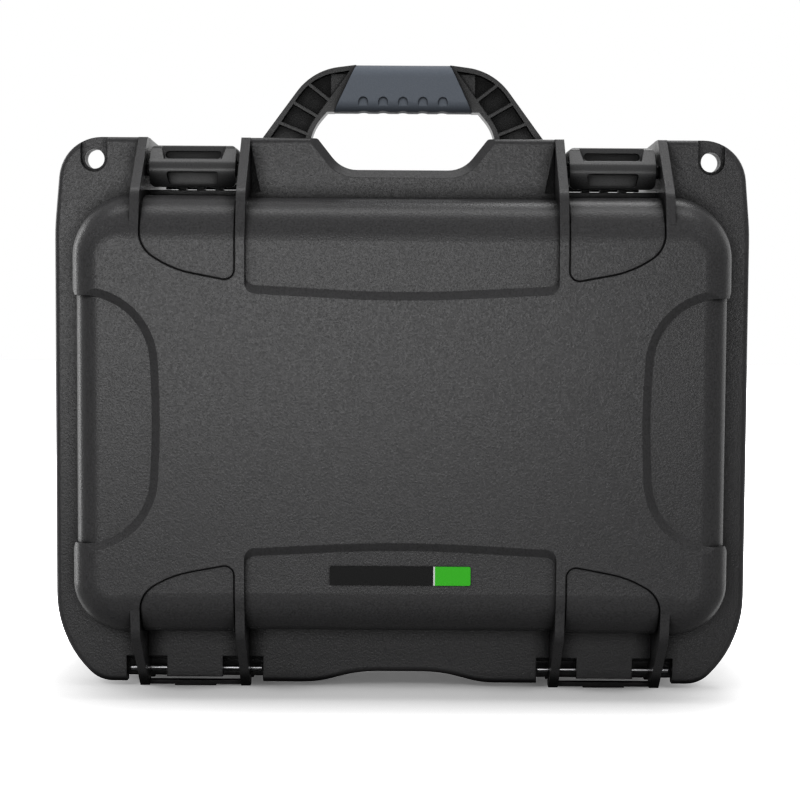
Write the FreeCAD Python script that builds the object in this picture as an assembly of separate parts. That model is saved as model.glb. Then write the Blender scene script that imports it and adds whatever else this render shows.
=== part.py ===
import FreeCAD, Part
import math
import os

Vector = FreeCAD.Vector

# A moulded hard case standing on its hinge side. X runs across the lid, -Y is the lid's face,
# +Y is the base's back and the handle is on top. Lengths are millimetres.
# While it is modelled the parting plane is y = 0; the export moves the case to its middle depth.

# Whole case
case_width = 402.0
lid_depth = 51.0
base_depth = 122.0
rim_floor_gap = 2.7
body_height = 252.0
parting_gap = 0.3
overrun = 2.0
tiny = 0.001

# Rims of lid and base, wider above and below the body than at its sides
rim_side_width = 15.0
rim_top_width = 33.0
rim_bottom_width = 32.3
rim_thickness = 9.0
rim_edge_round = 3.0
rim_top_corner = 25.0
rim_bottom_cut = 25.0
rim_bottom_sweep_share = 0.77
rim_bottom_round_share = 0.22
rim_shoulder_lean = 4.5
rim_shoulder_drop = 52.0
rim_shoulder_round = 150.0

# Bodies of lid and base
body_top_corner = 36.0
body_bottom_corner = 32.0
body_edge_round = 18.0
lid_roll = 27.0
lid_side_roll = 17.0
wall = 5.0
face_wall = 6.0

# Recessed panels on the lid's face and on both sides
centre_panel_depth = 2.2
centre_panel_top_height = 56.0
centre_panel_bottom_height = 52.5
centre_panel_bulge = 4.6
centre_panel_bulge_round = 700.0
panel_corner = 6.0
latch_panel_depth = 1.0
latch_panel_outer_height = 31.5
latch_panel_knee_height = 43.7
latch_panel_inner_height = 50.2
hinge_panel_outer_height = 27.0
hinge_panel_knee_height = 37.7
hinge_panel_inner_height = 44.3
panel_knee_setback = 19.2
panel_outer_round = 17.0
panel_knee_round = 58.0
panel_groove_width = 0.9
panel_groove_depth = 2.2
side_recess_depth = 2.2
side_recess_height = 149.0
side_recess_drop = 1.6
side_recess_reach = 47.5
side_recess_bulge = 4.3
side_recess_corner = 43.0
side_recess_bulge_round = 480.0
panel_slope_width = 4.6

# Ribs that flank the latches and the hinges
latch_spread_share = 0.597
pocket_width = 54.0
rib_thickness = 5.3
rib_nose = 8.0
rib_crest_setback = 5.0
rib_crest_drop = 0.5
rib_crest_round = 14.0
rib_landing = 28.0
rib_toe = 6.0
base_rib_length = 78.0
base_rib_fall = 3.0
base_rib_end = 112.0
base_rib_end_rise = 2.0
base_rib_round = 16.0

# Padlock holes through the upper corners
padlock_hole_radius = 5.7
padlock_side_inset = 23.0
padlock_drop = 12.5
padlock_seat_radius = 7.6
padlock_seat_depth = 3.0

# Hand opening in the middle of the upper rims, arch under the lower rim, reliefs by the ribs
hand_opening_top_width = 98.5
hand_opening_bottom_width = 70.0
hand_opening_depth = 18.0
hand_opening_round = 18.0
hand_opening_lip_round = 2.0
hand_opening_bevel = 4.6
arch_bottom_width = 96.0
arch_top_width = 48.0
arch_height = 6.5
arch_top_round = 80.0
arch_foot_round = 60.0
relief_width = 5.5
relief_height = 27.0
relief_floor = 4.0

# Seal in the lid's rim
seal_width = 2.4
seal_height = 2.2
seal_clearance = 0.1
seal_edge_bevel = 0.6

# Hinges
hinge_rise = 9.3
hinge_pin_radius = 1.6
hinge_pin_inset = 1.5
running_clearance = 0.05
hinge_barrel_radius = 4.4
hinge_tongue_width = 32.6
hinge_tongue_clearance = 0.4
hinge_tongue_rise = 5.9
hinge_notch_width = 80.0
hinge_notch_height = 15.2
hinge_knuckle_inset = 0.6
base_rim_clearance = 5.0
hinge_foot_clearance = 6.0
hinge_bar_depth = 4.0
hinge_bar_height = 2.2
hinge_bar_rise = 0.8
hinge_pad_width = 24.0
hinge_wall_width = 92.0
hinge_wall_thickness = 4.0
hinge_wall_rise = 1.2

# Keeper bars on the lid that the latch claws hold
keeper_rise = 10.5
keeper_height = 7.0
keeper_setback = 7.0
keeper_thickness = 6.0
keeper_round = 2.0

# Latch claws
latch_sill_rise = 3.1
claw_side_clearance = 2.4
claw_throw_gap = 1.2
claw_top_gap = 2.0
claw_top_rise = 28.2
claw_tip_rise = 4.0
claw_tip_thickness = 3.3
claw_nose_reach = 23.0
claw_nose_rise = 15.2
claw_nose_round = 7.0
claw_brow_setback = 12.0
claw_brow_round = 7.0
claw_corner_round = 3.5
claw_rear = 14.0
claw_arm_width = 4.4
claw_arm_half_depth = 4.2
claw_arm_knee = 5.0
claw_arm_knee_round = 3.0
claw_slot_width = 32.0
claw_slot_height = 4.5
claw_slot_rise = 20.4
claw_slot_depth = 14.0
claw_slot_round = 2.1
claw_slot_bevel = 0.5
claw_slot_flare = 3.4
claw_slot_bevel_depth = 2.2
claw_recess_width = 30.0
claw_recess_taper = 1.6
claw_recess_rise = 5.4
claw_recess_height = 7.2
claw_recess_depth = 7.0
claw_recess_round = 1.6

# Latch levers, pivoted on three ears of the base
lever_pivot_depth = 30.0
lever_pivot_rise = 16.0
lever_pin_radius = 1.5
ear_width = 4.6
ear_spacing = 11.0
ear_radius = 4.5
ear_root = 3.0
lever_knuckle_clearance = 0.3
lever_knuckle_radius = 4.2
claw_pin_setback = 14.0
claw_pin_drop = 4.0
claw_pin_radius = 1.5
claw_pin_inset = 0.5
lever_plate_rise = 22.0
lever_plate_thickness = 6.5
lever_front = 24.0
lever_arm_gap = 1.5
lever_shoulder = 52.0
lever_length = 82.0
lever_corner = 4.0
lever_edge_round = 1.2
lever_edge_bevel = 0.8
lever_web_width = 3.2
lever_web_radius = 4.0
finger_scoop_length = 9.0
finger_scoop_depth = 3.0

# Lock slides in the levers
lock_centre_depth = 65.0
lock_travel = 6.0
lock_neck_width = 12.0
lock_neck_depth = 9.4
lock_cap_width = 19.0
lock_cap_depth = 14.0
lock_cap_height = 2.6
lock_cap_corner = 1.6
lock_cap_bevel = 0.8
lock_groove_count = 3
lock_groove_radius = 0.9
lock_groove_pitch = 3.6
lock_tongue_depth = 10.0
lock_tongue_height = 3.4
lock_tongue_rear = 14.0
lock_clearance = 0.3
lock_rail_width = 2.4
lock_rail_height = 4.0
lock_keeper_clearance = 0.9

# Folding handle: frame, soft grip and pivot pins
handle_pivot_depth = 26.0
handle_pivot_rise = 14.0
handle_thickness = 17.0
handle_rise = 77.7
handle_side_clearance = 3.1
handle_elbow_rise = 32.0
handle_shoulder_setback = 31.2
handle_shoulder_drop = 3.4
handle_shoulder_round = 36.0
handle_elbow_round = 12.0
handle_foot_width = 26.6
handle_inner_elbow_setback = 31.1
handle_inner_elbow_rise = 40.0
handle_inner_top_setback = 39.8
handle_inner_round = 26.0
handle_rail = 3.4
handle_tip_setback = 4.0
handle_web = 4.0
handle_rib_thickness = 2.0
handle_rib_count = 3
handle_rib_first_angle = 22.0
handle_rib_angle_step = 8.0
handle_rib_fan_reach = 23.0
handle_rib_fan_rise = 5.0
grip_height = 27.5
grip_end_setback = 44.0
grip_end_lean = 13.0
grip_thickness = 24.0
grip_edge_round = 7.0
grip_end_gap = 0.1
grip_core_margin = 5.0
grip_core_thickness = 13.0
grip_core_clearance = 0.05
finger_notch_count = 5
finger_notch_pitch = 11.7
finger_notch_width = 5.6
finger_notch_height = 6.4
finger_notch_rise = 2.2
finger_notch_depth = 0.9
grip_scallop_radius = 8.0
grip_scallop_depth = 0.7
handle_pin_radius = 3.0
handle_pin_reach = 15.0
handle_pin_inset = 0.4

# Pressure valve in the base's upper wall, inside the folded handle's loop
valve_depth = 44.0
valve_flange_radius = 11.0
valve_flange_height = 3.0
valve_stem_radius = 6.0
valve_stem_length = 15.0
valve_cap_radius = 8.0
valve_cap_height = 2.4
valve_cap_slots = 6
valve_edge_bevel = 0.8
valve_slot_width = 1.6
valve_slot_depth = 1.2
valve_seal_radius = 8.5
valve_seal_section = 2.0
valve_nut_flats = 18.0
valve_nut_height = 4.5
valve_clearance = 0.05
hexagon_sides = 6

# Standing pads on the base's back
back_pad_length = 44.0
back_pad_width = 12.0
back_pad_height = 2.0
back_pad_side_inset = 62.0
back_pad_edge_inset = 34.0

# Places that follow from the sizes
half_width = case_width / 2
body_half = half_width - rim_side_width
body_bottom = rim_floor_gap + rim_bottom_width
body_top = body_bottom + body_height
body_middle = (body_bottom + body_top) / 2
rim_top = body_top + rim_top_width
latch_x = half_width * latch_spread_share
pocket_half = pocket_width / 2
inner_rib_face = latch_x - pocket_half - rib_thickness
claw_half = pocket_half - claw_side_clearance
lever_pivot = (lever_pivot_depth, body_top + lever_pivot_rise)
claw_pivot = (lever_pivot_depth + claw_pin_setback, lever_pivot[1] - claw_pin_drop)
lever_half = claw_half - claw_arm_width - lever_arm_gap
lever_under = body_top + lever_plate_rise
lever_top = lever_under + lever_plate_thickness
handle_pivot = (handle_pivot_depth, body_top + handle_pivot_rise)
handle_foot_half = inner_rib_face - handle_side_clearance
grip_bottom_half = handle_foot_half - grip_end_setback
grip_top_half = grip_bottom_half - grip_end_lean
handle_top = body_top + handle_rise
grip_bottom = handle_top - grip_height
base_rim_bottom = hinge_rise + base_rim_clearance
hinge_foot_start = math.hypot(rib_toe, hinge_rise) + hinge_foot_clearance
case_middle = (lid_depth - base_depth) / 2


def front(point):
    return Vector(point.x, 0, point.y)


def side(point):
    return Vector(0, point.x, point.y)


def plan(point):
    return Vector(point.x, point.y, 0)


normals = {front: Vector(0, 1, 0), side: Vector(1, 0, 0), plan: Vector(0, 0, 1)}


def rounded_wire(corners, place):
    """A closed wire through corners (a, b, radius), each rounded by its own radius."""
    count = len(corners)
    points = [Vector(a, b, 0) for a, b, radius in corners]
    rounds = []
    for i, (a, b, radius) in enumerate(corners):
        back = (points[i - 1] - points[i]).normalize()
        ahead = (points[(i + 1) % count] - points[i]).normalize()
        half_angle = back.getAngle(ahead) / 2
        reach = radius / math.tan(half_angle)
        inward = (back + ahead).normalize() if radius > 0 else Vector(0, 0, 0)
        middle = points[i] + inward * (radius / math.sin(half_angle) - radius)
        rounds.append((points[i] + back * reach, middle, points[i] + ahead * reach))
    edges = []
    for i, (start, middle, end) in enumerate(rounds):
        if corners[i][2] > 0:
            edges.append(Part.Arc(place(start), place(middle), place(end)).toShape())
        following = rounds[(i + 1) % count][0]
        if (following - end).Length > tiny:
            edges.append(Part.makeLine(place(end), place(following)))
    return Part.Wire(edges)


def prism(corners, place, start, stop):
    """An outline pushed along its own normal from start to stop."""
    normal = normals[place]
    face = Part.Face(rounded_wire(corners, place))
    face.translate(normal * start)
    return face.extrude(normal * (stop - start))


def taper(first, second, place, start, stop):
    """A solid between two outlines of the same corners at start and stop."""
    wires = []
    for corners, level in ((first, start), (second, stop)):
        wire = rounded_wire(corners, place)
        wire.translate(normals[place] * level)
        wires.append(wire)
    return Part.makeLoft(wires, True, True)


def rod(radius, place, centre, start, stop):
    """A round bar along the normal of a plane, about a point of that plane."""
    base = place(Vector(centre[0], centre[1], 0)) + normals[place] * start
    return Part.makeCylinder(radius, stop - start, base, normals[place])


def rectangle(a_low, a_high, b_low, b_high, radius=0):
    return [(a_low, b_low, radius), (a_high, b_low, radius),
            (a_high, b_high, radius), (a_low, b_high, radius)]


def edges_at(solid, axis, level):
    """The edges that lie wholly in one plane across an axis."""
    return [edge for edge in solid.Edges
            if max(abs(vertex.Point[axis] - level) for vertex in edge.Vertexes) < tiny]


def mirrored(solid):
    return solid.mirror(Vector(0, 0, 0), Vector(1, 0, 0))


def joined(solids):
    return solids[0].fuse(solids[1:]).removeSplitter()


def both(solids):
    """Right-hand features with their left-hand twins."""
    return solids + [mirrored(solid) for solid in solids]


def facing_lid(solid):
    """The lid is modelled with its depth along +Y and then turned to face -Y."""
    return solid.mirror(Vector(0, 0, 0), Vector(0, 1, 0))


def rim_corners():
    """The rim's outline with the arch in its lower edge and the hand opening in its upper edge."""
    shoulder = rim_top - rim_shoulder_drop
    widest_round = rim_bottom_cut * math.sqrt(2) / math.tan(math.pi / 8)
    right = [(arch_top_width / 2, rim_floor_gap + arch_height, arch_top_round),
             (arch_bottom_width / 2, rim_floor_gap, arch_foot_round),
             (half_width - rim_bottom_cut, rim_floor_gap, widest_round * rim_bottom_round_share),
             (half_width, rim_floor_gap + rim_bottom_cut, widest_round * rim_bottom_sweep_share),
             (half_width, shoulder, rim_shoulder_round),
             (half_width - rim_shoulder_lean, rim_top, rim_top_corner),
             (hand_opening_top_width / 2, rim_top, hand_opening_lip_round),
             (hand_opening_bottom_width / 2, rim_top - hand_opening_depth, hand_opening_round)]
    return right + [(-x, z, radius) for x, z, radius in reversed(right)]


def body_corners(inset):
    half = body_half - inset
    low = body_bottom + inset
    high = body_top - inset
    return [(half, low, body_bottom_corner - inset), (half, high, body_top_corner - inset),
            (-half, high, body_top_corner - inset), (-half, low, body_bottom_corner - inset)]


def body_block(start, depth, inset, edge_round):
    block = prism(body_corners(inset), front, start, depth)
    return block.makeFillet(edge_round, edges_at(block, 1, depth))


def rolled_block(start, depth):
    """The lid's body: its face rolls over widely above and below and more tightly at the sides."""
    document = FreeCAD.newDocument()
    plain = document.addObject("Part::Feature", "plain")
    plain.Shape = prism(body_corners(0), front, start, depth)
    rolled = document.addObject("Part::Fillet", "rolled")
    rolled.Base = plain
    rolls = []
    for number, edge in enumerate(plain.Shape.Edges, 1):
        ends = [edge.valueAt(parameter) for parameter in edge.ParameterRange]
        if all(abs(end.y - depth) < tiny for end in ends):
            rolls.append((number, *[lid_side_roll if abs(abs(end.x) - body_half) < tiny else lid_roll
                                    for end in ends]))
    rolled.Edges = rolls
    document.recompute()
    return rolled.Shape


def hand_bevel():
    """The sloped lip round the front of the hand opening."""
    top = rim_top + overrun
    half_top = hand_opening_top_width / 2
    half_bottom = hand_opening_bottom_width / 2
    lean = (half_top - half_bottom) / hand_opening_depth
    opening = rounded_wire([(half_top + overrun * lean, top, 0), (-half_top - overrun * lean, top, 0),
                            (-half_bottom, rim_top - hand_opening_depth, hand_opening_round),
                            (half_bottom, rim_top - hand_opening_depth, hand_opening_round)], front)
    wide = opening.makeOffset2D(hand_opening_bevel + overrun, 2)
    opening.translate(Vector(0, rim_thickness - hand_opening_bevel, 0))
    wide.translate(Vector(0, rim_thickness + overrun, 0))
    return Part.makeLoft([opening, wide], True, True)


def rim_plate(start):
    plate = prism(rim_corners(), front, start, rim_thickness)
    plate = plate.makeFillet(rim_edge_round, edges_at(plate, 1, rim_thickness))
    return plate.cut(hand_bevel())


def recess(outer, inner, depth, drop, edge_round):
    """A sunk panel with a sloping border, following the body's rounded edge out to the rim."""
    floor = depth - drop
    cutter = joined([taper(inner, outer, front, floor, depth),
                     prism(outer, front, depth, depth + overrun),
                     prism(inner, front, rim_thickness, floor)])
    return cutter.cut(body_block(0, floor, drop, edge_round - drop))


def side_recess(depth, edge_round):
    """A bulging panel that runs round the body's side, with its ends sloped on the face and on the side."""
    middle = body_middle - side_recess_drop
    low = middle - side_recess_height / 2
    high = middle + side_recess_height / 2
    reach = body_half - side_recess_reach

    def outline(inset):
        inner = reach + inset
        return [(half_width, low + inset, 0),
                (half_width, high - inset, 0),
                (inner, high - inset, side_recess_corner - inset),
                (inner - side_recess_bulge, middle, side_recess_bulge_round),
                (inner, low + inset, side_recess_corner - inset)]

    slope = taper(rectangle(rim_thickness, depth, low + panel_slope_width, high - panel_slope_width),
                  rectangle(rim_thickness, depth, low, high),
                  side, body_half - side_recess_depth, body_half)
    return recess(outline(0), outline(panel_slope_width), depth, side_recess_depth, edge_round).fuse(slope)


def centre_recess(depth, upward):
    half = inner_rib_face
    height = centre_panel_top_height if upward > 0 else centre_panel_bottom_height
    edge = (body_top if upward > 0 else body_bottom) - upward * height
    far = body_middle + upward * body_height

    def outline(inset):
        level = edge + upward * inset
        return [(half, far, 0),
                (-half, far, 0),
                (-half, level, panel_corner),
                (0, level - upward * centre_panel_bulge, centre_panel_bulge_round),
                (half, level, panel_corner)]

    return recess(outline(0), outline(panel_slope_width), depth, centre_panel_depth, lid_roll)


def pocket_recess(depth, upward, heights):
    """The shallow panel between a pair of ribs, with a groove along its swept border."""
    edge = body_top if upward > 0 else body_bottom
    far = body_middle + upward * body_height
    outer = latch_x + pocket_half
    inner = latch_x - pocket_half
    outer_level, knee_level, inner_level = [edge - upward * height for height in heights]
    outline = [(outer, far, 0),
               (inner, far, 0),
               (inner, inner_level, panel_corner),
               (outer - panel_knee_setback, knee_level, panel_knee_round),
               (outer, outer_level, panel_outer_round)]
    inside = Part.Face(rounded_wire(outline, front).makeOffset2D(-panel_groove_width))
    groove = recess(outline, outline, depth, panel_groove_depth, lid_roll)
    groove = groove.cut(inside.extrude(Vector(0, depth + 2 * overrun, 0)))
    return [recess(outline, outline, depth, latch_panel_depth, lid_roll), groove]


def pair_of_ribs(profile):
    """A rib on each side of a latch or hinge pocket."""
    inner = latch_x - pocket_half
    outer = latch_x + pocket_half
    return [prism(profile, side, inner - rib_thickness, inner),
            prism(profile, side, outer, outer + rib_thickness)]


def lid_rib_profile(edge, end, upward, nose):
    """From the rim's edge over the body's rounded edge to the flat of the face."""
    landing = edge - upward * rib_landing
    return [(parting_gap, landing, 0),
            (parting_gap, end, 0),
            (nose, end, 0),
            (lid_depth - rib_crest_setback, edge - upward * rib_crest_drop, rib_crest_round),
            (lid_depth, landing, 0)]


def latch_notch(sill):
    """The rim is open between the ribs, where the latch reaches over its sill."""
    return prism(rectangle(latch_x - pocket_half, latch_x + pocket_half, sill, rim_top + overrun),
                 front, -overrun, rim_thickness + overrun)


def padlock_cuts():
    centre_x = half_width - padlock_side_inset
    centre_z = rim_top - padlock_drop
    hole = rod(padlock_hole_radius, front, (centre_x, centre_z), -overrun, rim_thickness + overrun)
    seat = prism(rectangle(centre_x - padlock_seat_radius, centre_x + padlock_seat_radius,
                           centre_z, rim_top + overrun),
                 front, rim_thickness - padlock_seat_depth, rim_thickness + overrun)
    seat_end = rod(padlock_seat_radius, front, (centre_x, centre_z),
                   rim_thickness - padlock_seat_depth, rim_thickness + overrun)
    return [hole, seat, seat_end]


def rib_relief():
    """A tapered hollow in the lid's rim beside each inner rib."""
    low = body_top + overrun
    return prism([(inner_rib_face, low, 0), (inner_rib_face, low + relief_height, 0),
                  (inner_rib_face - relief_width, low, 0)],
                 front, relief_floor, rim_thickness + overrun)


def cavity(depth, edge_round):
    return body_block(-overrun, depth - face_wall, wall, edge_round - wall)


def seal_ring(clearance):
    middle = wall / 2
    reach = seal_width / 2 + clearance
    height = seal_height + clearance
    outer = prism(body_corners(middle - reach), front, parting_gap, parting_gap + height)
    inner = prism(body_corners(middle + reach), front, 0, parting_gap + height + overrun)
    return outer.cut(inner)


def hinge_axis_rod(radius, start, stop):
    return rod(radius, side, (0, hinge_rise), latch_x + start, latch_x + stop)


def hinge_bore():
    half = hinge_notch_width / 2
    return hinge_axis_rod(hinge_pin_radius + running_clearance, -half, half)


def lid_hinge_parts():
    """A tongue that covers the hinge's knuckle, and a bar with a standing pad that ties the ribs' feet."""
    half_tongue = hinge_tongue_width / 2
    half_pad = hinge_pad_width / 2
    tongue = prism(rectangle(latch_x - half_tongue, latch_x + half_tongue,
                             hinge_tongue_rise, body_bottom),
                   front, hinge_barrel_radius + hinge_tongue_clearance, rim_thickness)
    bar_back = rib_toe - hinge_bar_depth
    bar = prism(rectangle(bar_back, rib_toe, hinge_bar_rise, hinge_bar_rise + hinge_bar_height),
                side, latch_x - pocket_half, latch_x + pocket_half)
    pad = prism(rectangle(bar_back, rib_toe, 0, hinge_bar_rise),
                side, latch_x - half_pad, latch_x + half_pad)
    return [tongue, bar, pad]


def lid_shell():
    rim = rim_plate(parting_gap)
    half_notch = hinge_notch_width / 2
    hinge_notch = prism(rectangle(latch_x - half_notch, latch_x + half_notch,
                                  -overrun, rim_floor_gap + hinge_notch_height),
                        front, -overrun, rim_thickness + overrun)
    rim = rim.cut(both([latch_notch(body_top), hinge_notch, rib_relief()] + padlock_cuts()))

    panels = pocket_recess(lid_depth, 1, (latch_panel_outer_height, latch_panel_knee_height,
                                          latch_panel_inner_height))
    panels += pocket_recess(lid_depth, -1, (hinge_panel_outer_height, hinge_panel_knee_height,
                                            hinge_panel_inner_height))
    body = rolled_block(parting_gap, lid_depth)
    body = body.cut([centre_recess(lid_depth, 1), centre_recess(lid_depth, -1)]
                    + both([side_recess(lid_depth, lid_side_roll)] + panels))

    upper_ribs = pair_of_ribs(lid_rib_profile(body_top, rim_top, 1, rib_nose))
    lower_ribs = pair_of_ribs(lid_rib_profile(body_bottom, 0, -1, rib_toe))
    barrels = [hinge_axis_rod(hinge_barrel_radius, start, start + rib_thickness)
               for start in (-pocket_half - rib_thickness, pocket_half)]
    keeper = prism(rectangle(keeper_setback, keeper_setback + keeper_thickness, body_top + keeper_rise,
                             body_top + keeper_rise + keeper_height, keeper_round),
                   side, latch_x - pocket_half, latch_x + pocket_half)

    shell = joined([rim, body] + both(upper_ribs + lower_ribs + barrels + [keeper] + lid_hinge_parts()))
    shell = shell.cut([cavity(lid_depth, lid_roll), seal_ring(seal_clearance)] + both([hinge_bore()]))
    return facing_lid(shell.removeSplitter())


def lid_seal():
    ring = seal_ring(0)
    return facing_lid(ring.makeChamfer(seal_edge_bevel, edges_at(ring, 1, parting_gap + seal_height)))


def hinge_pin():
    half = hinge_notch_width / 2 - hinge_pin_inset
    return hinge_axis_rod(hinge_pin_radius, -half, half)


def base_upper_ribs():
    return pair_of_ribs([(0, body_middle, 0),
                         (0, rim_top, 0),
                         (base_rib_length, rim_top - base_rib_fall, base_rib_round),
                         (base_rib_end, body_top + base_rib_end_rise, base_rib_round),
                         (base_depth - face_wall, body_top - body_edge_round, 0),
                         (base_depth - face_wall, body_middle, 0)])


def base_lower_ribs():
    return pair_of_ribs([(hinge_foot_start, body_middle, 0),
                         (hinge_foot_start, 0, 0),
                         (base_rib_length, 0, base_rib_round),
                         (base_rib_end, body_bottom - base_rib_end_rise, base_rib_round),
                         (base_depth - face_wall, body_bottom + body_edge_round, 0),
                         (base_depth - face_wall, body_middle, 0)])


def hinge_wall():
    """The cross wall behind each hinge, between and past the base's ribs."""
    half = hinge_wall_width / 2
    return prism(rectangle(latch_x - half, latch_x + half, hinge_wall_rise, body_bottom + wall / 2),
                 front, hinge_foot_start, hinge_foot_start + hinge_wall_thickness)


def base_knuckle():
    """The middle knuckle of each hinge, on a short stem behind the lid's tongue."""
    half = hinge_tongue_width / 2 - hinge_knuckle_inset
    return [hinge_axis_rod(hinge_barrel_radius, -half, half),
            prism(rectangle(0, hinge_barrel_radius, hinge_rise, body_bottom),
                  side, latch_x - half, latch_x + half)]


def latch_ears():
    solids = []
    for step in (-1, 0, 1):
        start = latch_x + step * ear_spacing - ear_width / 2
        solids.append(rod(ear_radius, side, lever_pivot, start, start + ear_width))
        stem = [(lever_pivot[0] - ear_radius, lever_pivot[1], 0),
                (lever_pivot[0] - ear_radius, body_top - ear_root, 0),
                (lever_pivot[0] + ear_radius, body_top - ear_root, 0),
                (lever_pivot[0] + ear_radius, lever_pivot[1], 0)]
        solids.append(prism(stem, side, start, start + ear_width))
    return solids


def lock_keeper():
    """The slot in the outer rib that takes the lock slide's tongue."""
    half = lock_tongue_depth / 2 + lock_keeper_clearance
    top = lever_under - lock_clearance + lock_keeper_clearance
    bottom = lever_under - lock_clearance - lock_tongue_height - lock_keeper_clearance
    return prism(rectangle(lock_centre_depth - half, lock_centre_depth + half, bottom, top),
                 side, latch_x + pocket_half - overrun, latch_x + pocket_half + rib_thickness + overrun)


def back_pads():
    x = body_half - back_pad_side_inset
    solids = []
    for z in (body_bottom + back_pad_edge_inset, body_top - back_pad_edge_inset):
        outer = rectangle(x - back_pad_length / 2, x + back_pad_length / 2, z - back_pad_width / 2,
                          z + back_pad_width / 2, back_pad_width / 2 - tiny)
        solids.append(prism(outer, front, base_depth - face_wall / 2 - back_pad_height, base_depth))
    return solids


def base_shell():
    body_depth = base_depth - back_pad_height
    rim = rim_plate(0)
    below = prism(rectangle(-case_width, case_width, -overrun, base_rim_bottom),
                  front, -overrun, rim_thickness + overrun)
    rim = rim.cut([below] + both([latch_notch(body_top + latch_sill_rise)] + padlock_cuts()))
    body = body_block(0, body_depth, 0, body_edge_round)
    body = body.cut(both([side_recess(body_depth, body_edge_round)]))
    features = base_upper_ribs() + base_lower_ribs() + [hinge_wall()]
    features += base_knuckle() + latch_ears() + back_pads()
    shell = joined([rim, body] + both(features))
    lever_bore = rod(lever_pin_radius + running_clearance, side, lever_pivot,
                     latch_x - pocket_half, latch_x + pocket_half)
    handle_bore = rod(handle_pin_radius + running_clearance, side, handle_pivot,
                      inner_rib_face - overrun, inner_rib_face + rib_thickness - handle_pin_inset)
    valve_hole = rod(valve_stem_radius + valve_clearance, plan, (0, valve_depth),
                     body_top - wall - overrun, body_top + overrun)
    shell = shell.cut([cavity(body_depth, body_edge_round), valve_hole]
                      + both([hinge_bore(), lever_bore, handle_bore, lock_keeper()]))
    return shell.removeSplitter()


def claw_hook():
    """The nose that reaches over the keeper bar; its profile runs the whole width."""
    inner_wall = -(keeper_setback + keeper_thickness + claw_throw_gap)
    roof = body_top + keeper_rise + keeper_height + claw_top_gap
    tip = body_top + claw_tip_rise
    top = body_top + claw_top_rise
    profile = [(inner_wall, tip, 0),
               (inner_wall - claw_tip_thickness, tip, 0),
               (-claw_nose_reach, body_top + claw_nose_rise, claw_nose_round),
               (-claw_nose_reach + claw_brow_setback, top, claw_brow_round),
               (claw_rear, top, 0),
               (claw_rear, roof, 0),
               (inner_wall, roof, 0)]
    return prism(profile, side, latch_x - claw_half, latch_x + claw_half)


def claw_arms():
    """Two arms that pass beside the lever and swing on its claw pin."""
    y, z = claw_pivot
    high = z + claw_arm_half_depth
    low = z - claw_arm_half_depth
    top = body_top + claw_top_rise
    roof = body_top + keeper_rise + keeper_height + claw_top_gap
    profile = [(claw_rear - claw_arm_knee, top, 0),
               (claw_rear, top, 0),
               (claw_rear, roof, claw_arm_knee_round),
               (claw_rear + claw_arm_knee, high, claw_arm_knee_round),
               (y, high, 0),
               (y, low, 0),
               (claw_rear, low, claw_arm_knee_round),
               (claw_rear - claw_arm_knee, roof, 0)]
    solids = []
    for start in (latch_x - claw_half, latch_x + claw_half - claw_arm_width):
        solids.append(prism(profile, side, start, start + claw_arm_width))
        solids.append(rod(claw_arm_half_depth, side, claw_pivot, start, start + claw_arm_width))
    return solids


def claw_windows():
    """The finger slot in the brow, flared towards the top, and the deep recess under the nose."""
    half = claw_slot_width / 2
    low = body_top + claw_slot_rise
    high = low + claw_slot_height
    front_face = -claw_nose_reach - overrun
    back_face = -claw_nose_reach + claw_slot_depth
    slot = prism(rectangle(latch_x - half, latch_x + half, low, high, claw_slot_round),
                 front, front_face, back_face)
    brow_rise = claw_top_rise - claw_nose_rise
    stretch = math.hypot(claw_brow_setback, brow_rise) / brow_rise
    middle = (low + high) / 2
    reach = (high - middle) * stretch
    rim = (body_top + claw_top_rise - middle) * stretch + overrun
    flare = taper([(-half - claw_slot_bevel, -reach - claw_slot_bevel, 0),
                   (half + claw_slot_bevel, -reach - claw_slot_bevel, 0),
                   (half + claw_slot_flare, rim, 0),
                   (-half - claw_slot_flare, rim, 0)],
                  rectangle(-half, half, -reach, reach), front, 0, claw_slot_bevel_depth)
    flare.rotate(Vector(0, 0, 0), Vector(1, 0, 0), -math.degrees(math.atan2(claw_brow_setback, brow_rise)))
    setback = claw_brow_setback * (middle - body_top - claw_nose_rise) / brow_rise
    flare.translate(Vector(latch_x, -claw_nose_reach + setback, middle))
    half = claw_recess_width / 2
    low = body_top + claw_recess_rise
    high = low + claw_recess_height
    recess_outline = [(latch_x - half + claw_recess_taper, low, claw_recess_round),
                      (latch_x + half - claw_recess_taper, low, claw_recess_round),
                      (latch_x + half, high, claw_recess_round),
                      (latch_x - half, high, claw_recess_round)]
    recess_cut = prism(recess_outline, front, front_face, -claw_nose_reach + claw_recess_depth)
    return [slot, flare, recess_cut]


def latch_claw():
    claw = joined([claw_hook()] + claw_arms())
    outline = prism(rectangle(latch_x - claw_half, latch_x + claw_half, body_top + claw_tip_rise,
                              body_top + claw_top_rise, claw_corner_round),
                    front, -claw_nose_reach - overrun, claw_pivot[0] + claw_arm_half_depth + overrun)
    bore = rod(claw_pin_radius + running_clearance, side, claw_pivot,
               latch_x - claw_half, latch_x + claw_half)
    return claw.common(outline).cut(claw_windows() + [bore]).removeSplitter()


def claw_pin():
    half = claw_half - claw_pin_inset
    return rod(claw_pin_radius, side, claw_pivot, latch_x - half, latch_x + half)


def lever_pin():
    half = ear_spacing + ear_width / 2
    return rod(lever_pin_radius, side, lever_pivot, latch_x - half, latch_x + half)


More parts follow.
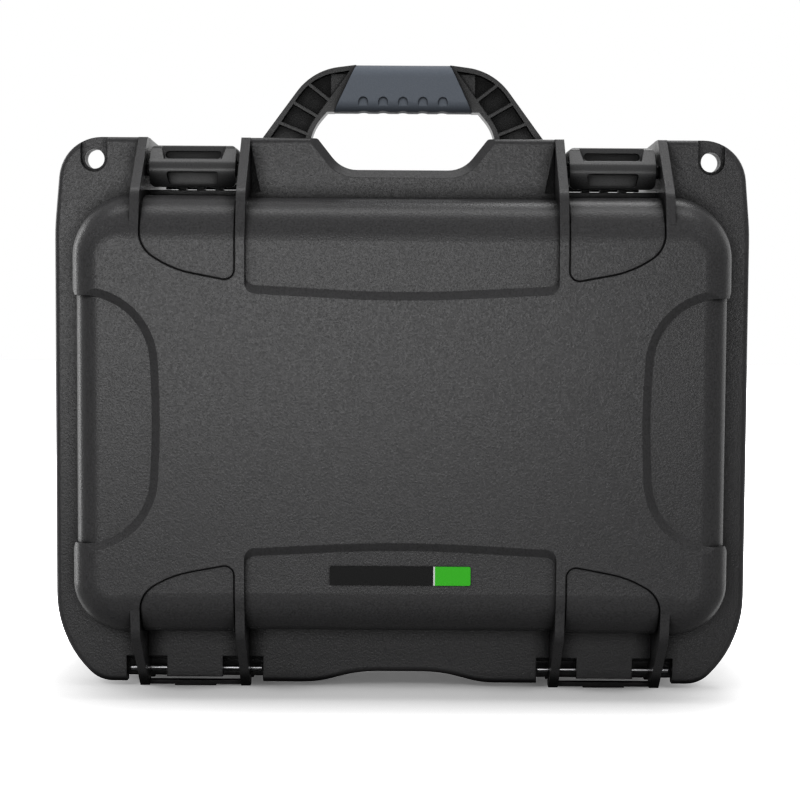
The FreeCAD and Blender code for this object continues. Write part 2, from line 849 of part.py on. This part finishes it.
def lever_plate():
    """Narrow between the claw's arms, full width behind them, with a scooped finger edge."""
    outline = [(latch_x - lever_half, lever_front, lever_edge_round),
               (latch_x + lever_half, lever_front, lever_edge_round),
               (latch_x + lever_half, lever_shoulder, lever_edge_round),
               (latch_x + claw_half, lever_shoulder, lever_edge_round),
               (latch_x + claw_half, lever_length, lever_corner),
               (latch_x - claw_half, lever_length, lever_corner),
               (latch_x - claw_half, lever_shoulder, lever_edge_round),
               (latch_x - lever_half, lever_shoulder, lever_edge_round)]
    plate = prism(outline, plan, lever_under, lever_top)
    plate = plate.makeChamfer(lever_edge_bevel, edges_at(plate, 2, lever_top))
    low = lever_under - overrun
    high = lever_under + finger_scoop_depth
    scoop = prism([(lever_length - finger_scoop_length, low, 0),
                   (lever_length + overrun, low, 0),
                   (lever_length + overrun, high, 0),
                   (lever_length - finger_scoop_length / 2, high, finger_scoop_depth)],
                  side, latch_x - claw_half - overrun, latch_x + claw_half + overrun)
    return plate.cut(scoop)


def lever_knuckles():
    width = ear_spacing - ear_width - 2 * lever_knuckle_clearance
    y, z = lever_pivot
    solids = []
    for step in (-1, 1):
        start = latch_x + step * ear_spacing / 2 - width / 2
        solids.append(rod(lever_knuckle_radius, side, lever_pivot, start, start + width))
        stem = [(y - lever_knuckle_radius, z, 0), (y + lever_knuckle_radius, z, 0),
                (y + lever_knuckle_radius, lever_top - lever_edge_round, 0),
                (y - lever_knuckle_radius, lever_top - lever_edge_round, 0)]
        solids.append(prism(stem, side, start, start + width))
    return solids


def lever_webs():
    """Two cheeks under the plate that carry the claw pin."""
    y, z = claw_pivot
    stem = [(y - lever_web_radius, z, 0), (y + lever_web_radius, z, 0),
            (y + lever_web_radius, lever_under, 0), (y - lever_web_radius, lever_under, 0)]
    solids = []
    for start in (latch_x - lever_half, latch_x + lever_half - lever_web_width):
        solids.append(rod(lever_web_radius, side, claw_pivot, start, start + lever_web_width))
        solids.append(prism(stem, side, start, start + lever_web_width))
    return solids


def lock_rails():
    half = lock_tongue_depth / 2 + lock_clearance
    solids = []
    for near, far in ((-half - lock_rail_width, -half), (half, half + lock_rail_width)):
        solids.append(prism(rectangle(lock_centre_depth + near, lock_centre_depth + far,
                                      lever_under - lock_rail_height, lever_under),
                            side, latch_x - claw_half + overrun, latch_x + claw_half))
    return solids


def latch_lever():
    lever = joined([lever_plate()] + lever_knuckles() + lever_webs() + lock_rails())
    half_neck = lock_neck_width / 2 + lock_clearance
    half_depth = lock_neck_depth / 2 + lock_clearance
    window = prism(rectangle(latch_x - half_neck, latch_x + half_neck + lock_travel,
                             lock_centre_depth - half_depth, lock_centre_depth + half_depth),
                   plan, lever_under - overrun, lever_top + overrun)
    pivot_bore = rod(lever_pin_radius + running_clearance, side, lever_pivot,
                     latch_x - lever_half, latch_x + lever_half)
    claw_bore = rod(claw_pin_radius + running_clearance, side, claw_pivot,
                    latch_x - lever_half, latch_x + lever_half)
    return lever.cut([window, pivot_bore, claw_bore]).removeSplitter()


def lock_slide():
    """A ridged thumb cap, a neck through the lever and a tongue below that enters the rib."""
    y = lock_centre_depth
    half_cap = lock_cap_width / 2
    half_depth = lock_cap_depth / 2
    cap_low = lever_top + lock_clearance
    cap_high = cap_low + lock_cap_height
    cap = prism(rectangle(latch_x - half_cap, latch_x + half_cap,
                          y - half_depth, y + half_depth, lock_cap_corner),
                plan, cap_low, cap_high)
    cap = cap.makeChamfer(lock_cap_bevel, edges_at(cap, 2, cap_high))
    grooves = [rod(lock_groove_radius, front, (latch_x + step * lock_groove_pitch, cap_high),
                   y - lock_cap_depth, y + lock_cap_depth)
               for step in range(-(lock_groove_count // 2), lock_groove_count // 2 + 1)]
    half_neck = lock_neck_width / 2
    half_depth = lock_neck_depth / 2
    tongue_top = lever_under - lock_clearance
    neck = prism(rectangle(latch_x - half_neck, latch_x + half_neck, y - half_depth, y + half_depth),
                 plan, tongue_top, cap_low)
    half_depth = lock_tongue_depth / 2
    tongue = prism(rectangle(latch_x - lock_tongue_rear, latch_x + claw_half - lock_clearance,
                             y - half_depth, y + half_depth),
                   plan, tongue_top - lock_tongue_height, tongue_top)
    return joined([cap.cut(grooves), neck, tongue])


def handle_side_profile():
    """The frame's edge view: parallel cheeks with a round end about the pivot."""
    half = handle_thickness / 2
    y, z = handle_pivot
    slab = prism(rectangle(y - half, y + half, z, handle_top), side, -handle_foot_half, handle_foot_half)
    return joined([slab, rod(half, side, handle_pivot, -handle_foot_half, handle_foot_half)])


def arm_outline():
    """The right arm seen from the front, from its foot to the slanted end of the grip."""
    foot = handle_pivot[1] - handle_thickness / 2
    return [(handle_foot_half, foot, 0),
            (handle_foot_half, body_top + handle_elbow_rise, handle_elbow_round),
            (handle_foot_half - handle_shoulder_setback, handle_top - handle_shoulder_drop,
             handle_shoulder_round),
            (grip_top_half + grip_end_gap, handle_top, 0),
            (grip_bottom_half + grip_end_gap, grip_bottom, 0),
            (handle_foot_half - handle_inner_top_setback, grip_bottom, 0),
            (handle_foot_half - handle_inner_elbow_setback, body_top + handle_inner_elbow_rise,
             handle_inner_round),
            (handle_foot_half - handle_foot_width, foot, 0)]


def arm_pocket_outline():
    """The arm's hollow: a rail's width inside its edges, running to a point beside the grip's upper end."""
    low = handle_pivot[1] + handle_thickness / 2
    outer = handle_foot_half - handle_rail
    return [(outer, low, 0),
            (outer, body_top + handle_elbow_rise - handle_rail / 2, handle_elbow_round - handle_rail),
            (outer - handle_shoulder_setback + handle_rail, handle_top - handle_shoulder_drop - handle_rail,
             handle_shoulder_round - handle_rail),
            (grip_top_half + handle_tip_setback, handle_top - handle_rail, 0),
            (handle_foot_half - handle_inner_elbow_setback + handle_rail / 2,
             body_top + handle_inner_elbow_rise + handle_rail / 2, handle_inner_round),
            (handle_foot_half - handle_foot_width + handle_rail, low, 0)]


def arm_pockets():
    """Hollows in both faces of an arm, with a fan of cross ribs left standing between the rails."""
    y = handle_pivot[0]
    pocket = prism(arm_pocket_outline(), front, -handle_thickness, handle_thickness)
    focus = Vector(-handle_rib_fan_reach, 0, body_top + handle_rib_fan_rise)
    for step in range(handle_rib_count):
        rib = Part.makeBox(case_width, 2 * handle_thickness, handle_rib_thickness,
                           Vector(0, -handle_thickness, -handle_rib_thickness / 2))
        rib.rotate(Vector(0, 0, 0), Vector(0, -1, 0), handle_rib_first_angle + step * handle_rib_angle_step)
        pocket = pocket.cut(rib.translated(focus))
    half_web = handle_web / 2
    faces = []
    for near, far in ((-handle_thickness, -half_web), (half_web, handle_thickness)):
        slab = prism(rectangle(0, case_width, 0, handle_top + overrun), front, near, far)
        faces.append(pocket.common(slab).translated(Vector(0, y, 0)))
    return faces


def grip_core(clearance):
    half = grip_core_thickness / 2 + clearance
    y = handle_pivot[0]
    return prism(rectangle(y - half, y + half, grip_bottom + grip_core_margin - clearance,
                           handle_top - grip_core_margin + clearance),
                 side, -grip_bottom_half - overrun, grip_bottom_half + overrun)


def handle_frame():
    y = handle_pivot[0]
    half = handle_thickness / 2
    arm = prism(arm_outline(), front, y - half, y + half)
    arm = arm.common(handle_side_profile())
    bore = rod(handle_pin_radius + running_clearance, side, handle_pivot,
               handle_foot_half - handle_pin_reach, handle_foot_half + overrun)
    arm = arm.cut(arm_pockets() + [bore])
    return joined([arm, mirrored(arm), grip_core(0)])


def finger_notch(x):
    """A shallow arch pressed into the grip's face above its lower edge."""
    half = finger_notch_width / 2
    low = grip_bottom + finger_notch_rise
    high = low + finger_notch_height
    crown = half - tiny
    return prism([(x - half, low, 0), (x + half, low, 0), (x + half, high, crown), (x - half, high, crown)],
                 front, -grip_thickness, -grip_thickness / 2 + finger_notch_depth)


def handle_grip():
    y = handle_pivot[0]
    half = grip_thickness / 2
    section = prism(rectangle(-half, half, grip_bottom, handle_top, grip_edge_round),
                    side, -grip_bottom_half, grip_bottom_half)
    ends = prism([(grip_bottom_half, grip_bottom, 0), (grip_top_half, handle_top, 0),
                  (-grip_top_half, handle_top, 0), (-grip_bottom_half, grip_bottom, 0)],
                 front, -grip_thickness, grip_thickness)
    grip = section.common(ends)
    middle = (finger_notch_count - 1) / 2
    places = [(step - middle) * finger_notch_pitch for step in range(finger_notch_count)]
    notches = [finger_notch(x) for x in places]
    notches += [notch.mirror(Vector(0, 0, 0), Vector(0, 1, 0)) for notch in notches]
    scallops = [rod(grip_scallop_radius, front, (x, grip_bottom - grip_scallop_radius + grip_scallop_depth),
                    -grip_thickness, grip_thickness) for x in places]
    grip = grip.cut(notches + scallops)
    grip.translate(Vector(0, y, 0))
    return grip.cut(grip_core(grip_core_clearance)).removeSplitter()


def handle_pin():
    return rod(handle_pin_radius, side, handle_pivot,
               handle_foot_half - handle_pin_reach + running_clearance,
               inner_rib_face + rib_thickness - handle_pin_inset - running_clearance)


def valve_housing():
    seat = body_top + valve_seal_section
    flange = rod(valve_flange_radius, plan, (0, valve_depth), seat, seat + valve_flange_height)
    flange = flange.makeChamfer(valve_edge_bevel, edges_at(flange, 2, seat + valve_flange_height))
    stem = rod(valve_stem_radius, plan, (0, valve_depth), seat - valve_stem_length, seat)
    return joined([flange, stem])


def valve_cap():
    seat = body_top + valve_seal_section + valve_flange_height
    cap = rod(valve_cap_radius, plan, (0, valve_depth), seat, seat + valve_cap_height)
    slots = []
    for step in range(valve_cap_slots):
        slot = Part.makeBox(valve_slot_width, valve_cap_radius, valve_slot_depth,
                            Vector(-valve_slot_width / 2, valve_cap_radius / 2, seat))
        slot.rotate(Vector(0, 0, 0), Vector(0, 0, 1), step * 360 / valve_cap_slots)
        slots.append(slot.translated(Vector(0, valve_depth, 0)))
    cap = cap.makeChamfer(valve_edge_bevel, edges_at(cap, 2, seat + valve_cap_height))
    return cap.cut(slots)


def valve_seal():
    outer = rod(valve_seal_radius, plan, (0, valve_depth), body_top, body_top + valve_seal_section)
    inner = rod(valve_stem_radius + valve_clearance, plan, (0, valve_depth), body_top - overrun,
                body_top + valve_seal_section + overrun)
    return outer.cut(inner)


def valve_nut():
    top = body_top - wall
    radius = valve_nut_flats / 2 / math.cos(math.pi / hexagon_sides)
    corners = []
    for step in range(hexagon_sides):
        turn = 2 * math.pi * step / hexagon_sides
        corners.append((radius * math.cos(turn), valve_depth + radius * math.sin(turn), 0))
    nut = prism(corners, plan, top - valve_nut_height, top)
    return nut.cut(rod(valve_stem_radius + valve_clearance, plan, (0, valve_depth),
                       top - valve_nut_height - overrun, top + overrun))


pieces = {"base_shell": base_shell(), "lid_shell": lid_shell(), "lid_seal": lid_seal(),
          "handle_frame": handle_frame(), "handle_grip": handle_grip(),
          "valve_housing": valve_housing(), "valve_cap": valve_cap(),
          "valve_seal": valve_seal(), "valve_nut": valve_nut()}
paired = {"hinge_pin": hinge_pin(), "latch_claw": latch_claw(), "claw_pin": claw_pin(),
          "latch_lever": latch_lever(), "lever_pin": lever_pin(), "lock_slide": lock_slide(),
          "handle_pin": handle_pin()}
for name, solid in paired.items():
    pieces[name + "_right"] = solid
    pieces[name + "_left"] = mirrored(solid)

os.makedirs("parts", exist_ok=True)
for name, solid in pieces.items():
    solid.translate(Vector(0, case_middle, 0))
    solid.exportStep("parts/" + name + ".step")
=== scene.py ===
import math

import bmesh
import bpy
from mathutils import Matrix, Vector


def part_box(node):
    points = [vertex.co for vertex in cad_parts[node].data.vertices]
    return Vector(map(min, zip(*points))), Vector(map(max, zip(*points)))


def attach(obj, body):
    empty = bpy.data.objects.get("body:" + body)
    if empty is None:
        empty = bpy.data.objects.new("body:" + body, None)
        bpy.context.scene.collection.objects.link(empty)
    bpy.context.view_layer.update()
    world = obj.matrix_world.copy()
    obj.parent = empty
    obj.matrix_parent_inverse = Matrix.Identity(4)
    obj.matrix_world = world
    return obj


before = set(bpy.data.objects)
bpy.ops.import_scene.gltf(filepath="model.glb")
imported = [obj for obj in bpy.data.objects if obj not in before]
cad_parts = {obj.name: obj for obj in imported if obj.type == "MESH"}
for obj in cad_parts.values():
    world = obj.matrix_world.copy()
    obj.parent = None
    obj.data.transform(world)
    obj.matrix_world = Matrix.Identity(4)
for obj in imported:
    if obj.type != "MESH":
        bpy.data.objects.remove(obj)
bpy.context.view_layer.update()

# Base shell
# The deep half of the case, injection moulded in graphite polypropylene with a fine spark-eroded grain.
# It carries the hinge knuckles, the latch ears, the handle's pivots and the valve.
pattern_low = 0.3
pattern_high = 0.7
edge_samples = 6
# The recess values set the painted shade: colour and gloss darken in corners and recesses, by how little a
# point sees out.
recess_samples = 8
recess_reach = 0.012
recess_seen_share = 0.45
face_seen_share = 0.98
painted_shade_darkest = 0.15
grain_roughness_swing = 0.06
sides = ("left", "right")


def start_material(name):
    """A node material with one shader, and the object's own coordinates for its patterns."""
    material = bpy.data.materials.new(name)
    material.use_nodes = True
    nodes = material.node_tree.nodes
    nodes.clear()
    output = nodes.new("ShaderNodeOutputMaterial")
    shader = nodes.new("ShaderNodeBsdfPrincipled")
    material.node_tree.links.new(shader.outputs["BSDF"], output.inputs["Surface"])
    place = nodes.new("ShaderNodeTexCoord")
    return material, shader, place.outputs["Object"]


def noise(material, place, feature_size):
    """Soft random pattern whose features are about feature_size metres across."""
    node = material.node_tree.nodes.new("ShaderNodeTexNoise")
    node.inputs["Scale"].default_value = 1 / feature_size
    material.node_tree.links.new(place, node.inputs["Vector"])
    return node.outputs["Fac"]


def spread(owner, source, low, high, low_value, high_value):
    """Carries the part of a material's or world's value between low and high to the values asked for."""
    node = owner.node_tree.nodes.new("ShaderNodeMapRange")
    node.inputs["From Min"].default_value = low
    node.inputs["From Max"].default_value = high
    node.inputs["To Min"].default_value = low_value
    node.inputs["To Max"].default_value = high_value
    owner.node_tree.links.new(source, node.inputs["Value"])
    return node.outputs["Result"]


def from_pattern(material, pattern, low_value, high_value):
    """The middle of a random pattern, where most of it lies, carried to two values."""
    return spread(material, pattern, pattern_low, pattern_high, low_value, high_value)


def tint(material, share, first, second):
    """A colour between two, by a share from 0 to 1."""
    node = material.node_tree.nodes.new("ShaderNodeMix")
    node.data_type = "RGBA"
    node.inputs["A"].default_value = (*first, 1)
    node.inputs["B"].default_value = (*second, 1)
    material.node_tree.links.new(share, node.inputs["Factor"])
    return node.outputs["Result"]


def shaded(material, share, colour):
    """A colour that goes to black as the share goes to 0, for painted shade."""
    shade = tint(material, share, (0, 0, 0), (0, 0, 0))
    material.node_tree.links.new(colour, shade.node.inputs["B"])
    return shade


def bump(material, height, depth, normal):
    """Fine relief of depth metres laid over a surface."""
    node = material.node_tree.nodes.new("ShaderNodeBump")
    node.inputs["Strength"].default_value = 1.0
    node.inputs["Distance"].default_value = depth
    material.node_tree.links.new(height, node.inputs["Height"])
    material.node_tree.links.new(normal, node.inputs["Normal"])
    return node.outputs["Normal"]


def soft_edge(material, radius):
    """The small radius that every moulded edge has."""
    node = material.node_tree.nodes.new("ShaderNodeBevel")
    node.samples = edge_samples
    node.inputs["Radius"].default_value = radius
    return node.outputs["Normal"]


def painted_recess_shade(material):
    """Painted shade for corners and recesses: how freely a point sees out, from a small share deep in a
    recess to 1 on an open face.
    """
    node = material.node_tree.nodes.new("ShaderNodeAmbientOcclusion")
    node.samples = recess_samples
    node.inputs["Distance"].default_value = recess_reach
    return spread(material, node.outputs["AO"], recess_seen_share, face_seen_share, painted_shade_darkest, 1)


def moulded(name, dark, light, roughness, gloss, grain_size, grain_depth, edge_radius):
    """Fine-grained plastic or rubber: the grain breaks the gloss and speckles the colour, and corners and
    recesses get painted shade, a darker colour and a dimmer gloss than the open faces."""
    material, shader, place = start_material(name)
    links = material.node_tree.links
    grain = noise(material, place, grain_size)
    speckled = tint(material, from_pattern(material, grain, 0, 1), dark, light)
    painted_shade_share = painted_recess_shade(material)
    grain_roughness = from_pattern(material, grain, roughness + grain_roughness_swing,
                                   roughness - grain_roughness_swing)
    relief = bump(material, grain, grain_depth, soft_edge(material, edge_radius))
    # Painted shade: the speckled colour is darkened in corners and recesses, and the gloss below is dimmed
    # there too.
    links.new(shaded(material, painted_shade_share, speckled), shader.inputs["Base Color"])
    links.new(grain_roughness, shader.inputs["Roughness"])
    links.new(relief, shader.inputs["Normal"])
    links.new(spread(material, painted_shade_share, 0, 1, 0, gloss), shader.inputs["Specular IOR Level"])
    return material


def finish_nodes(names, material):
    """Gives CAD nodes a finish in place of their plain one."""
    for name in names:
        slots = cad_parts[name].data.materials
        slots.clear()
        slots.append(material)


def pair(name):
    """The names of a left and a right node."""
    return [name + "_" + side for side in sides]


graphite = moulded("graphite_polypropylene",
                   dark=(0.021, 0.0207, 0.0214), light=(0.045, 0.0443, 0.0457), roughness=0.31, gloss=0.38,
                   grain_size=0.0010, grain_depth=0.00011, edge_radius=0.0007)
finish_nodes(["base_shell"], graphite)

# Hinge pins
# Drawn stainless rods pressed through the base's knuckles and the feet of the lid's ribs.
# Their fine drawing lines run along the rod, which is the X axis.
steel_colour = (0.42, 0.42, 0.43)
steel_smoothest = 0.22
steel_roughest = 0.36
drawing_line_width = 0.0002
drawing_line_stretch = 0.02

steel, shader, place = start_material("drawn_stainless")
links = steel.node_tree.links
drawn = steel.node_tree.nodes.new("ShaderNodeMapping")
drawn.inputs["Scale"].default_value = (drawing_line_stretch, 1, 1)
links.new(place, drawn.inputs["Vector"])
lines = noise(steel, drawn.outputs["Vector"], drawing_line_width)
links.new(from_pattern(steel, lines, steel_smoothest, steel_roughest), shader.inputs["Roughness"])
shader.inputs["Metallic"].default_value = 1.0
shader.inputs["Base Color"].default_value = (*steel_colour, 1)
finish_nodes(pair("hinge_pin"), steel)

# Lid shell
# The shallow half, moulded from the same graphite polypropylene as the base, with sunk panels and ribs.
# It swings on the hinge pins and carries the keeper bars that the claws hold.
finish_nodes(["lid_shell"], graphite)

# Lid seal
# A soft black rubber ring in the groove of the lid's rim, pressed against the base when the case is shut.
# It is extruded in one length and laid in place.
black_rubber = moulded("black_seal_rubber",
                       dark=(0.012, 0.012, 0.013), light=(0.016, 0.016, 0.017), roughness=0.62, gloss=0.3,
                       grain_size=0.0006, grain_depth=0.00005, edge_radius=0.0003)
finish_nodes(["lid_seal"], black_rubber)

# Label plate
# A thin bare plate stuck on the flat of the lid's lower panel: a black field, a pale line and a green end.
# It is cut from one strip, so its three fields share one rounded outline.
plate_half_width = 0.0396
plate_height = 0.0107
plate_thickness = 0.0005
plate_rise = 0.0723
plate_corner = 0.0009
plate_line_place = 0.0191
plate_line_width = 0.0009
lower_panel_depth = 0.0022
black_field, pale_line, green_end = range(3)
print_roughness = 0.4
print_roughness_swing = 0.04
print_grain = 0.002
print_gloss = 0.12


def printed(name, colour):
    """An even printed colour with a faint gloss."""
    material, shader, place = start_material(name)
    grain = noise(material, place, print_grain)
    roughness = from_pattern(material, grain, print_roughness - print_roughness_swing,
                             print_roughness + print_roughness_swing)
    material.node_tree.links.new(roughness, shader.inputs["Roughness"])
    shader.inputs["Base Color"].default_value = (*colour, 1)
    shader.inputs["Specular IOR Level"].default_value = print_gloss
    return material


def new_piece(name, mesh, materials, body):
    """Turns a finished mesh into a piece of the case that rides one body."""
    data = bpy.data.meshes.new(name)
    mesh.to_mesh(data)
    mesh.free()
    for material in materials:
        data.materials.append(material)
    piece = bpy.data.objects.new(name, data)
    bpy.context.scene.collection.objects.link(piece)
    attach(piece, body)


plate_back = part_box("lid_shell")[0][1] + lower_panel_depth
plate = bmesh.new()
bmesh.ops.create_cube(plate, size=1)
bmesh.ops.scale(plate, vec=(2 * plate_half_width, plate_thickness, plate_height), verts=plate.verts)
corners = [edge for edge in plate.edges
           if abs(edge.verts[0].co.y - edge.verts[1].co.y) > plate_thickness / 2]
bmesh.ops.bevel(plate, geom=corners, offset=plate_corner,
                affect="EDGES", segments=4, profile=0.5, material=-1)
for cut in (plate_line_place - plate_line_width / 2, plate_line_place + plate_line_width / 2):
    bmesh.ops.bisect_plane(plate, geom=plate.verts[:] + plate.edges[:] + plate.faces[:],
                           plane_co=(cut, 0, 0), plane_no=(1, 0, 0))
for face in plate.faces:
    past_line = face.calc_center_median().x - plate_line_place
    if abs(past_line) < plate_line_width / 2:
        face.material_index = pale_line
    elif past_line > 0:
        face.material_index = green_end
    else:
        face.material_index = black_field
bmesh.ops.translate(plate, vec=(0, plate_back - plate_thickness / 2, plate_rise), verts=plate.verts)
bmesh.ops.recalc_face_normals(plate, faces=plate.faces)
new_piece("label_plate", plate,
          [printed("black_print", (0.008, 0.008, 0.008)),
           printed("pale_print", (0.72, 0.75, 0.72)),
           printed("green_print", (0.045, 0.5, 0.02))],
          "lid")

# Pressure valve
# A black moulded housing through the base's upper wall, with its vent cap on top and its nut inside.
# A rubber washer seals the flange.
black_plastic = moulded("black_handle_plastic",
                        dark=(0.006, 0.006, 0.0062), light=(0.008, 0.008, 0.0083), roughness=0.3, gloss=0.42,
                        grain_size=0.0006, grain_depth=0.00003, edge_radius=0.0006)
finish_nodes(["valve_housing", "valve_cap", "valve_nut"], black_plastic)
finish_nodes(["valve_seal"], black_rubber)

# Handle
# A black moulded frame with ribbed arms that turn on two steel pins in the base's ribs.
# A slate-blue soft rubber grip is moulded round its middle.
finish_nodes(["handle_frame"], black_plastic)
slate_rubber = moulded("slate_grip_rubber",
                       dark=(0.094, 0.108, 0.130), light=(0.106, 0.121, 0.145), roughness=0.55, gloss=0.3,
                       grain_size=0.0008, grain_depth=0.0001, edge_radius=0.001)
finish_nodes(["handle_grip"], slate_rubber)
finish_nodes(pair("handle_pin"), steel)

# Latches
# Each is a lever on the base's ears, a claw on the lever's cheeks and a sliding lock.
# They are moulded in dark satin plastic, and steel pins carry the lever and the claw.
latch_plastic = moulded("satin_latch_plastic",
                        dark=(0.031, 0.031, 0.0315), light=(0.037, 0.037, 0.0375), roughness=0.3, gloss=0.5,
                        grain_size=0.0006, grain_depth=0.00003, edge_radius=0.0006)
finish_nodes(pair("latch_lever") + pair("latch_claw") + pair("lock_slide"), latch_plastic)
finish_nodes(pair("lever_pin") + pair("claw_pin"), steel)

# Lever ribs
# One cross rib is moulded under each lever's plate, from cheek to cheek behind the claw.
# It stiffens the plate, and closes most of the view under the claw's hook.
rib_half_width = 0.024
rib_place = 0.0178
rib_thickness = 0.002
rib_drop = 0.0164
rib_edge = 0.0004
lever_plate_thickness = 0.0065
for side in sides:
    lever_low, lever_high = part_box("latch_lever_" + side)
    rib_middle = (lever_low[0] + lever_high[0]) / 2
    rib_top = lever_high[2] - lever_plate_thickness
    rib = bmesh.new()
    bmesh.ops.create_cube(rib, size=1)
    bmesh.ops.scale(rib, vec=(2 * rib_half_width, rib_thickness, rib_drop), verts=rib.verts)
    bmesh.ops.bevel(rib, geom=rib.edges[:], offset=rib_edge,
                    affect="EDGES", segments=2, profile=0.5, material=-1)
    bmesh.ops.translate(rib, vec=(rib_middle, rib_place, rib_top - rib_drop / 2), verts=rib.verts)
    new_piece("lever_rib_" + side, rib, [latch_plastic], "lever_" + side)

# Camera
# It stands in front of the lid, a little above its middle, and looks slightly down.
# Its focal length is written in pixels of the picture.
photo_pixels = 800
camera_focus_pixels = 1893
camera_sensor_width = 36
camera_distance = 1.10
camera_pitch = math.radians(3.8)
camera_roll = math.radians(0.35)
camera_aim = Vector((-0.0007, -0.0445, 0.169))

camera_data = bpy.data.cameras.new("photo_camera")
camera_data.sensor_width = camera_sensor_width
camera_data.lens = camera_focus_pixels / photo_pixels * camera_sensor_width
camera = bpy.data.objects.new("photo_camera", camera_data)
bpy.context.scene.collection.objects.link(camera)
back = Vector((0, -math.cos(camera_pitch), math.sin(camera_pitch)))
turn = (-back).to_track_quat("-Z", "Y").to_matrix().to_4x4() @ Matrix.Rotation(camera_roll, 4, "Z")
camera.matrix_world = Matrix.Translation(camera_aim + back * camera_distance) @ turn
bpy.context.scene.camera = camera

# Surround
# A white page for the camera, of which gloss sees the part behind the case.
# All other light from it is a dim, even sky.
page_level = 1.0
sky_level = 0.28
page_edge_heading = -0.45
page_middle_heading = -0.9

world = bpy.data.worlds.new("white_studio")
bpy.context.scene.world = world
world.use_nodes = True
nodes = world.node_tree.nodes
links = world.node_tree.links
nodes.clear()


def white_background(level):
    """An even white surround of the given strength."""
    node = nodes.new("ShaderNodeBackground")
    node.inputs["Color"].default_value = (1, 1, 1, 1)
    node.inputs["Strength"].default_value = level
    return node.outputs["Background"]


def combined(owner, operation, first, second):
    """Two values of a material or world joined by one sum."""
    node = owner.node_tree.nodes.new("ShaderNodeMath")
    node.operation = operation
    owner.node_tree.links.new(first, node.inputs[0])
    owner.node_tree.links.new(second, node.inputs[1])
    return node.outputs["Value"]


heading = nodes.new("ShaderNodeSeparateXYZ")
links.new(nodes.new("ShaderNodeNewGeometry").outputs["Incoming"], heading.inputs["Vector"])
behind = spread(world, heading.outputs["Y"], page_edge_heading, page_middle_heading, 0, 1)
ray = nodes.new("ShaderNodeLightPath").outputs
gloss_ray = combined(world, "MAXIMUM", ray["Is Glossy Ray"], ray["Is Transmission Ray"])
gloss_ray_behind = combined(world, "MULTIPLY", gloss_ray, behind)
sees_page = combined(world, "MAXIMUM", ray["Is Camera Ray"], gloss_ray_behind)
mixer = nodes.new("ShaderNodeMixShader")
links.new(sees_page, mixer.inputs["Fac"])
links.new(white_background(sky_level), mixer.inputs[1])
links.new(white_background(page_level), mixer.inputs[2])
links.new(mixer.outputs["Shader"], nodes.new("ShaderNodeOutputWorld").inputs["Surface"])

# Floor
# A grey floor of which only the shadow shows, close to the case; farther out it fades away.
# So most of a lid that opens below the floor still shows.
# The shade falls with a high power of the floor's alpha, which shade_power takes back.
floor_half = 4
floor_grey = 0.2
floor_roughness = 0.9
shadow_full_half_width = 0.14
shadow_half_width = 0.22
shadow_full_front = -0.07
shadow_front = -0.125
shadow_full_back = 0.08
shadow_back = 0.45
shadow_share = 0.85
shade_power = 12

floor_paint, shader, place = start_material("grey_floor_paint")
shader.inputs["Base Color"].default_value = (floor_grey, floor_grey, floor_grey, 1)
shader.inputs["Roughness"].default_value = floor_roughness
nodes = floor_paint.node_tree.nodes
links = floor_paint.node_tree.links
spot = nodes.new("ShaderNodeSeparateXYZ")
links.new(place, spot.inputs["Vector"])
left_fade = spread(floor_paint, spot.outputs["X"], -shadow_half_width, -shadow_full_half_width, 0, 1)
right_fade = spread(floor_paint, spot.outputs["X"], shadow_half_width, shadow_full_half_width, 0, 1)
front_fade = spread(floor_paint, spot.outputs["Y"], shadow_front, shadow_full_front, 0, shadow_share)
back_fade = spread(floor_paint, spot.outputs["Y"], shadow_back, shadow_full_back, 0, 1)
across = combined(floor_paint, "MULTIPLY", left_fade, right_fade)
along = combined(floor_paint, "MULTIPLY", front_fade, back_fade)
alpha = nodes.new("ShaderNodeMath")
alpha.operation = "POWER"
alpha.inputs[1].default_value = 1 / shade_power
links.new(combined(floor_paint, "MULTIPLY", across, along), alpha.inputs[0])
links.new(alpha.outputs["Value"], shader.inputs["Alpha"])

floor_mesh = bmesh.new()
bmesh.ops.create_grid(floor_mesh, x_segments=1, y_segments=1, size=floor_half)
floor_data = bpy.data.meshes.new("floor")
floor_mesh.to_mesh(floor_data)
floor_mesh.free()
floor_data.materials.append(floor_paint)
floor = bpy.data.objects.new("floor", floor_data)
bpy.context.scene.collection.objects.link(floor)
floor.is_shadow_catcher = True

# Lamps
# A low soft box in front gives the face its gloss, and two high ones beside it light the colours.
# One overhead, a high one at the back and two strips behind draw the edges.
case_middle = Vector((0, 0, 0.17))


def soft_box(name, place, width, height, power, mirrored=True):
    """A lit rectangle that faces the case. One that isn't mirrored lights the colours but not the gloss."""
    lamp = bpy.data.lights.new(name, "AREA")
    lamp.shape = "RECTANGLE"
    lamp.size = width
    lamp.size_y = height
    lamp.energy = power
    lit = bpy.data.objects.new(name, lamp)
    bpy.context.scene.collection.objects.link(lit)
    lit.visible_glossy = mirrored
    lit.location = place
    lit.rotation_euler = (case_middle - Vector(place)).to_track_quat("-Z", "Y").to_euler()


soft_box("front_box", (-0.25, -2.0, 0.24), width=1.3, height=0.5, power=7.8)
soft_box("left_box", (-1.3, -1.4, 1.6), width=0.8, height=0.8, power=19, mirrored=False)
soft_box("right_box", (1.3, -1.4, 1.6), width=0.8, height=0.8, power=12, mirrored=False)
soft_box("overhead_box", (0, -0.15, 1.7), width=1.6, height=0.4, power=6)
soft_box("back_box", (0.5, 1.2, 2.2), width=0.8, height=0.8, power=8)
soft_box("left_strip", (-1.5, 0.7, 0.4), width=0.4, height=1.4, power=6.5)
soft_box("right_strip", (1.5, 0.7, 0.4), width=0.4, height=1.4, power=1.2)

bpy.context.scene.view_settings.view_transform = "Standard"
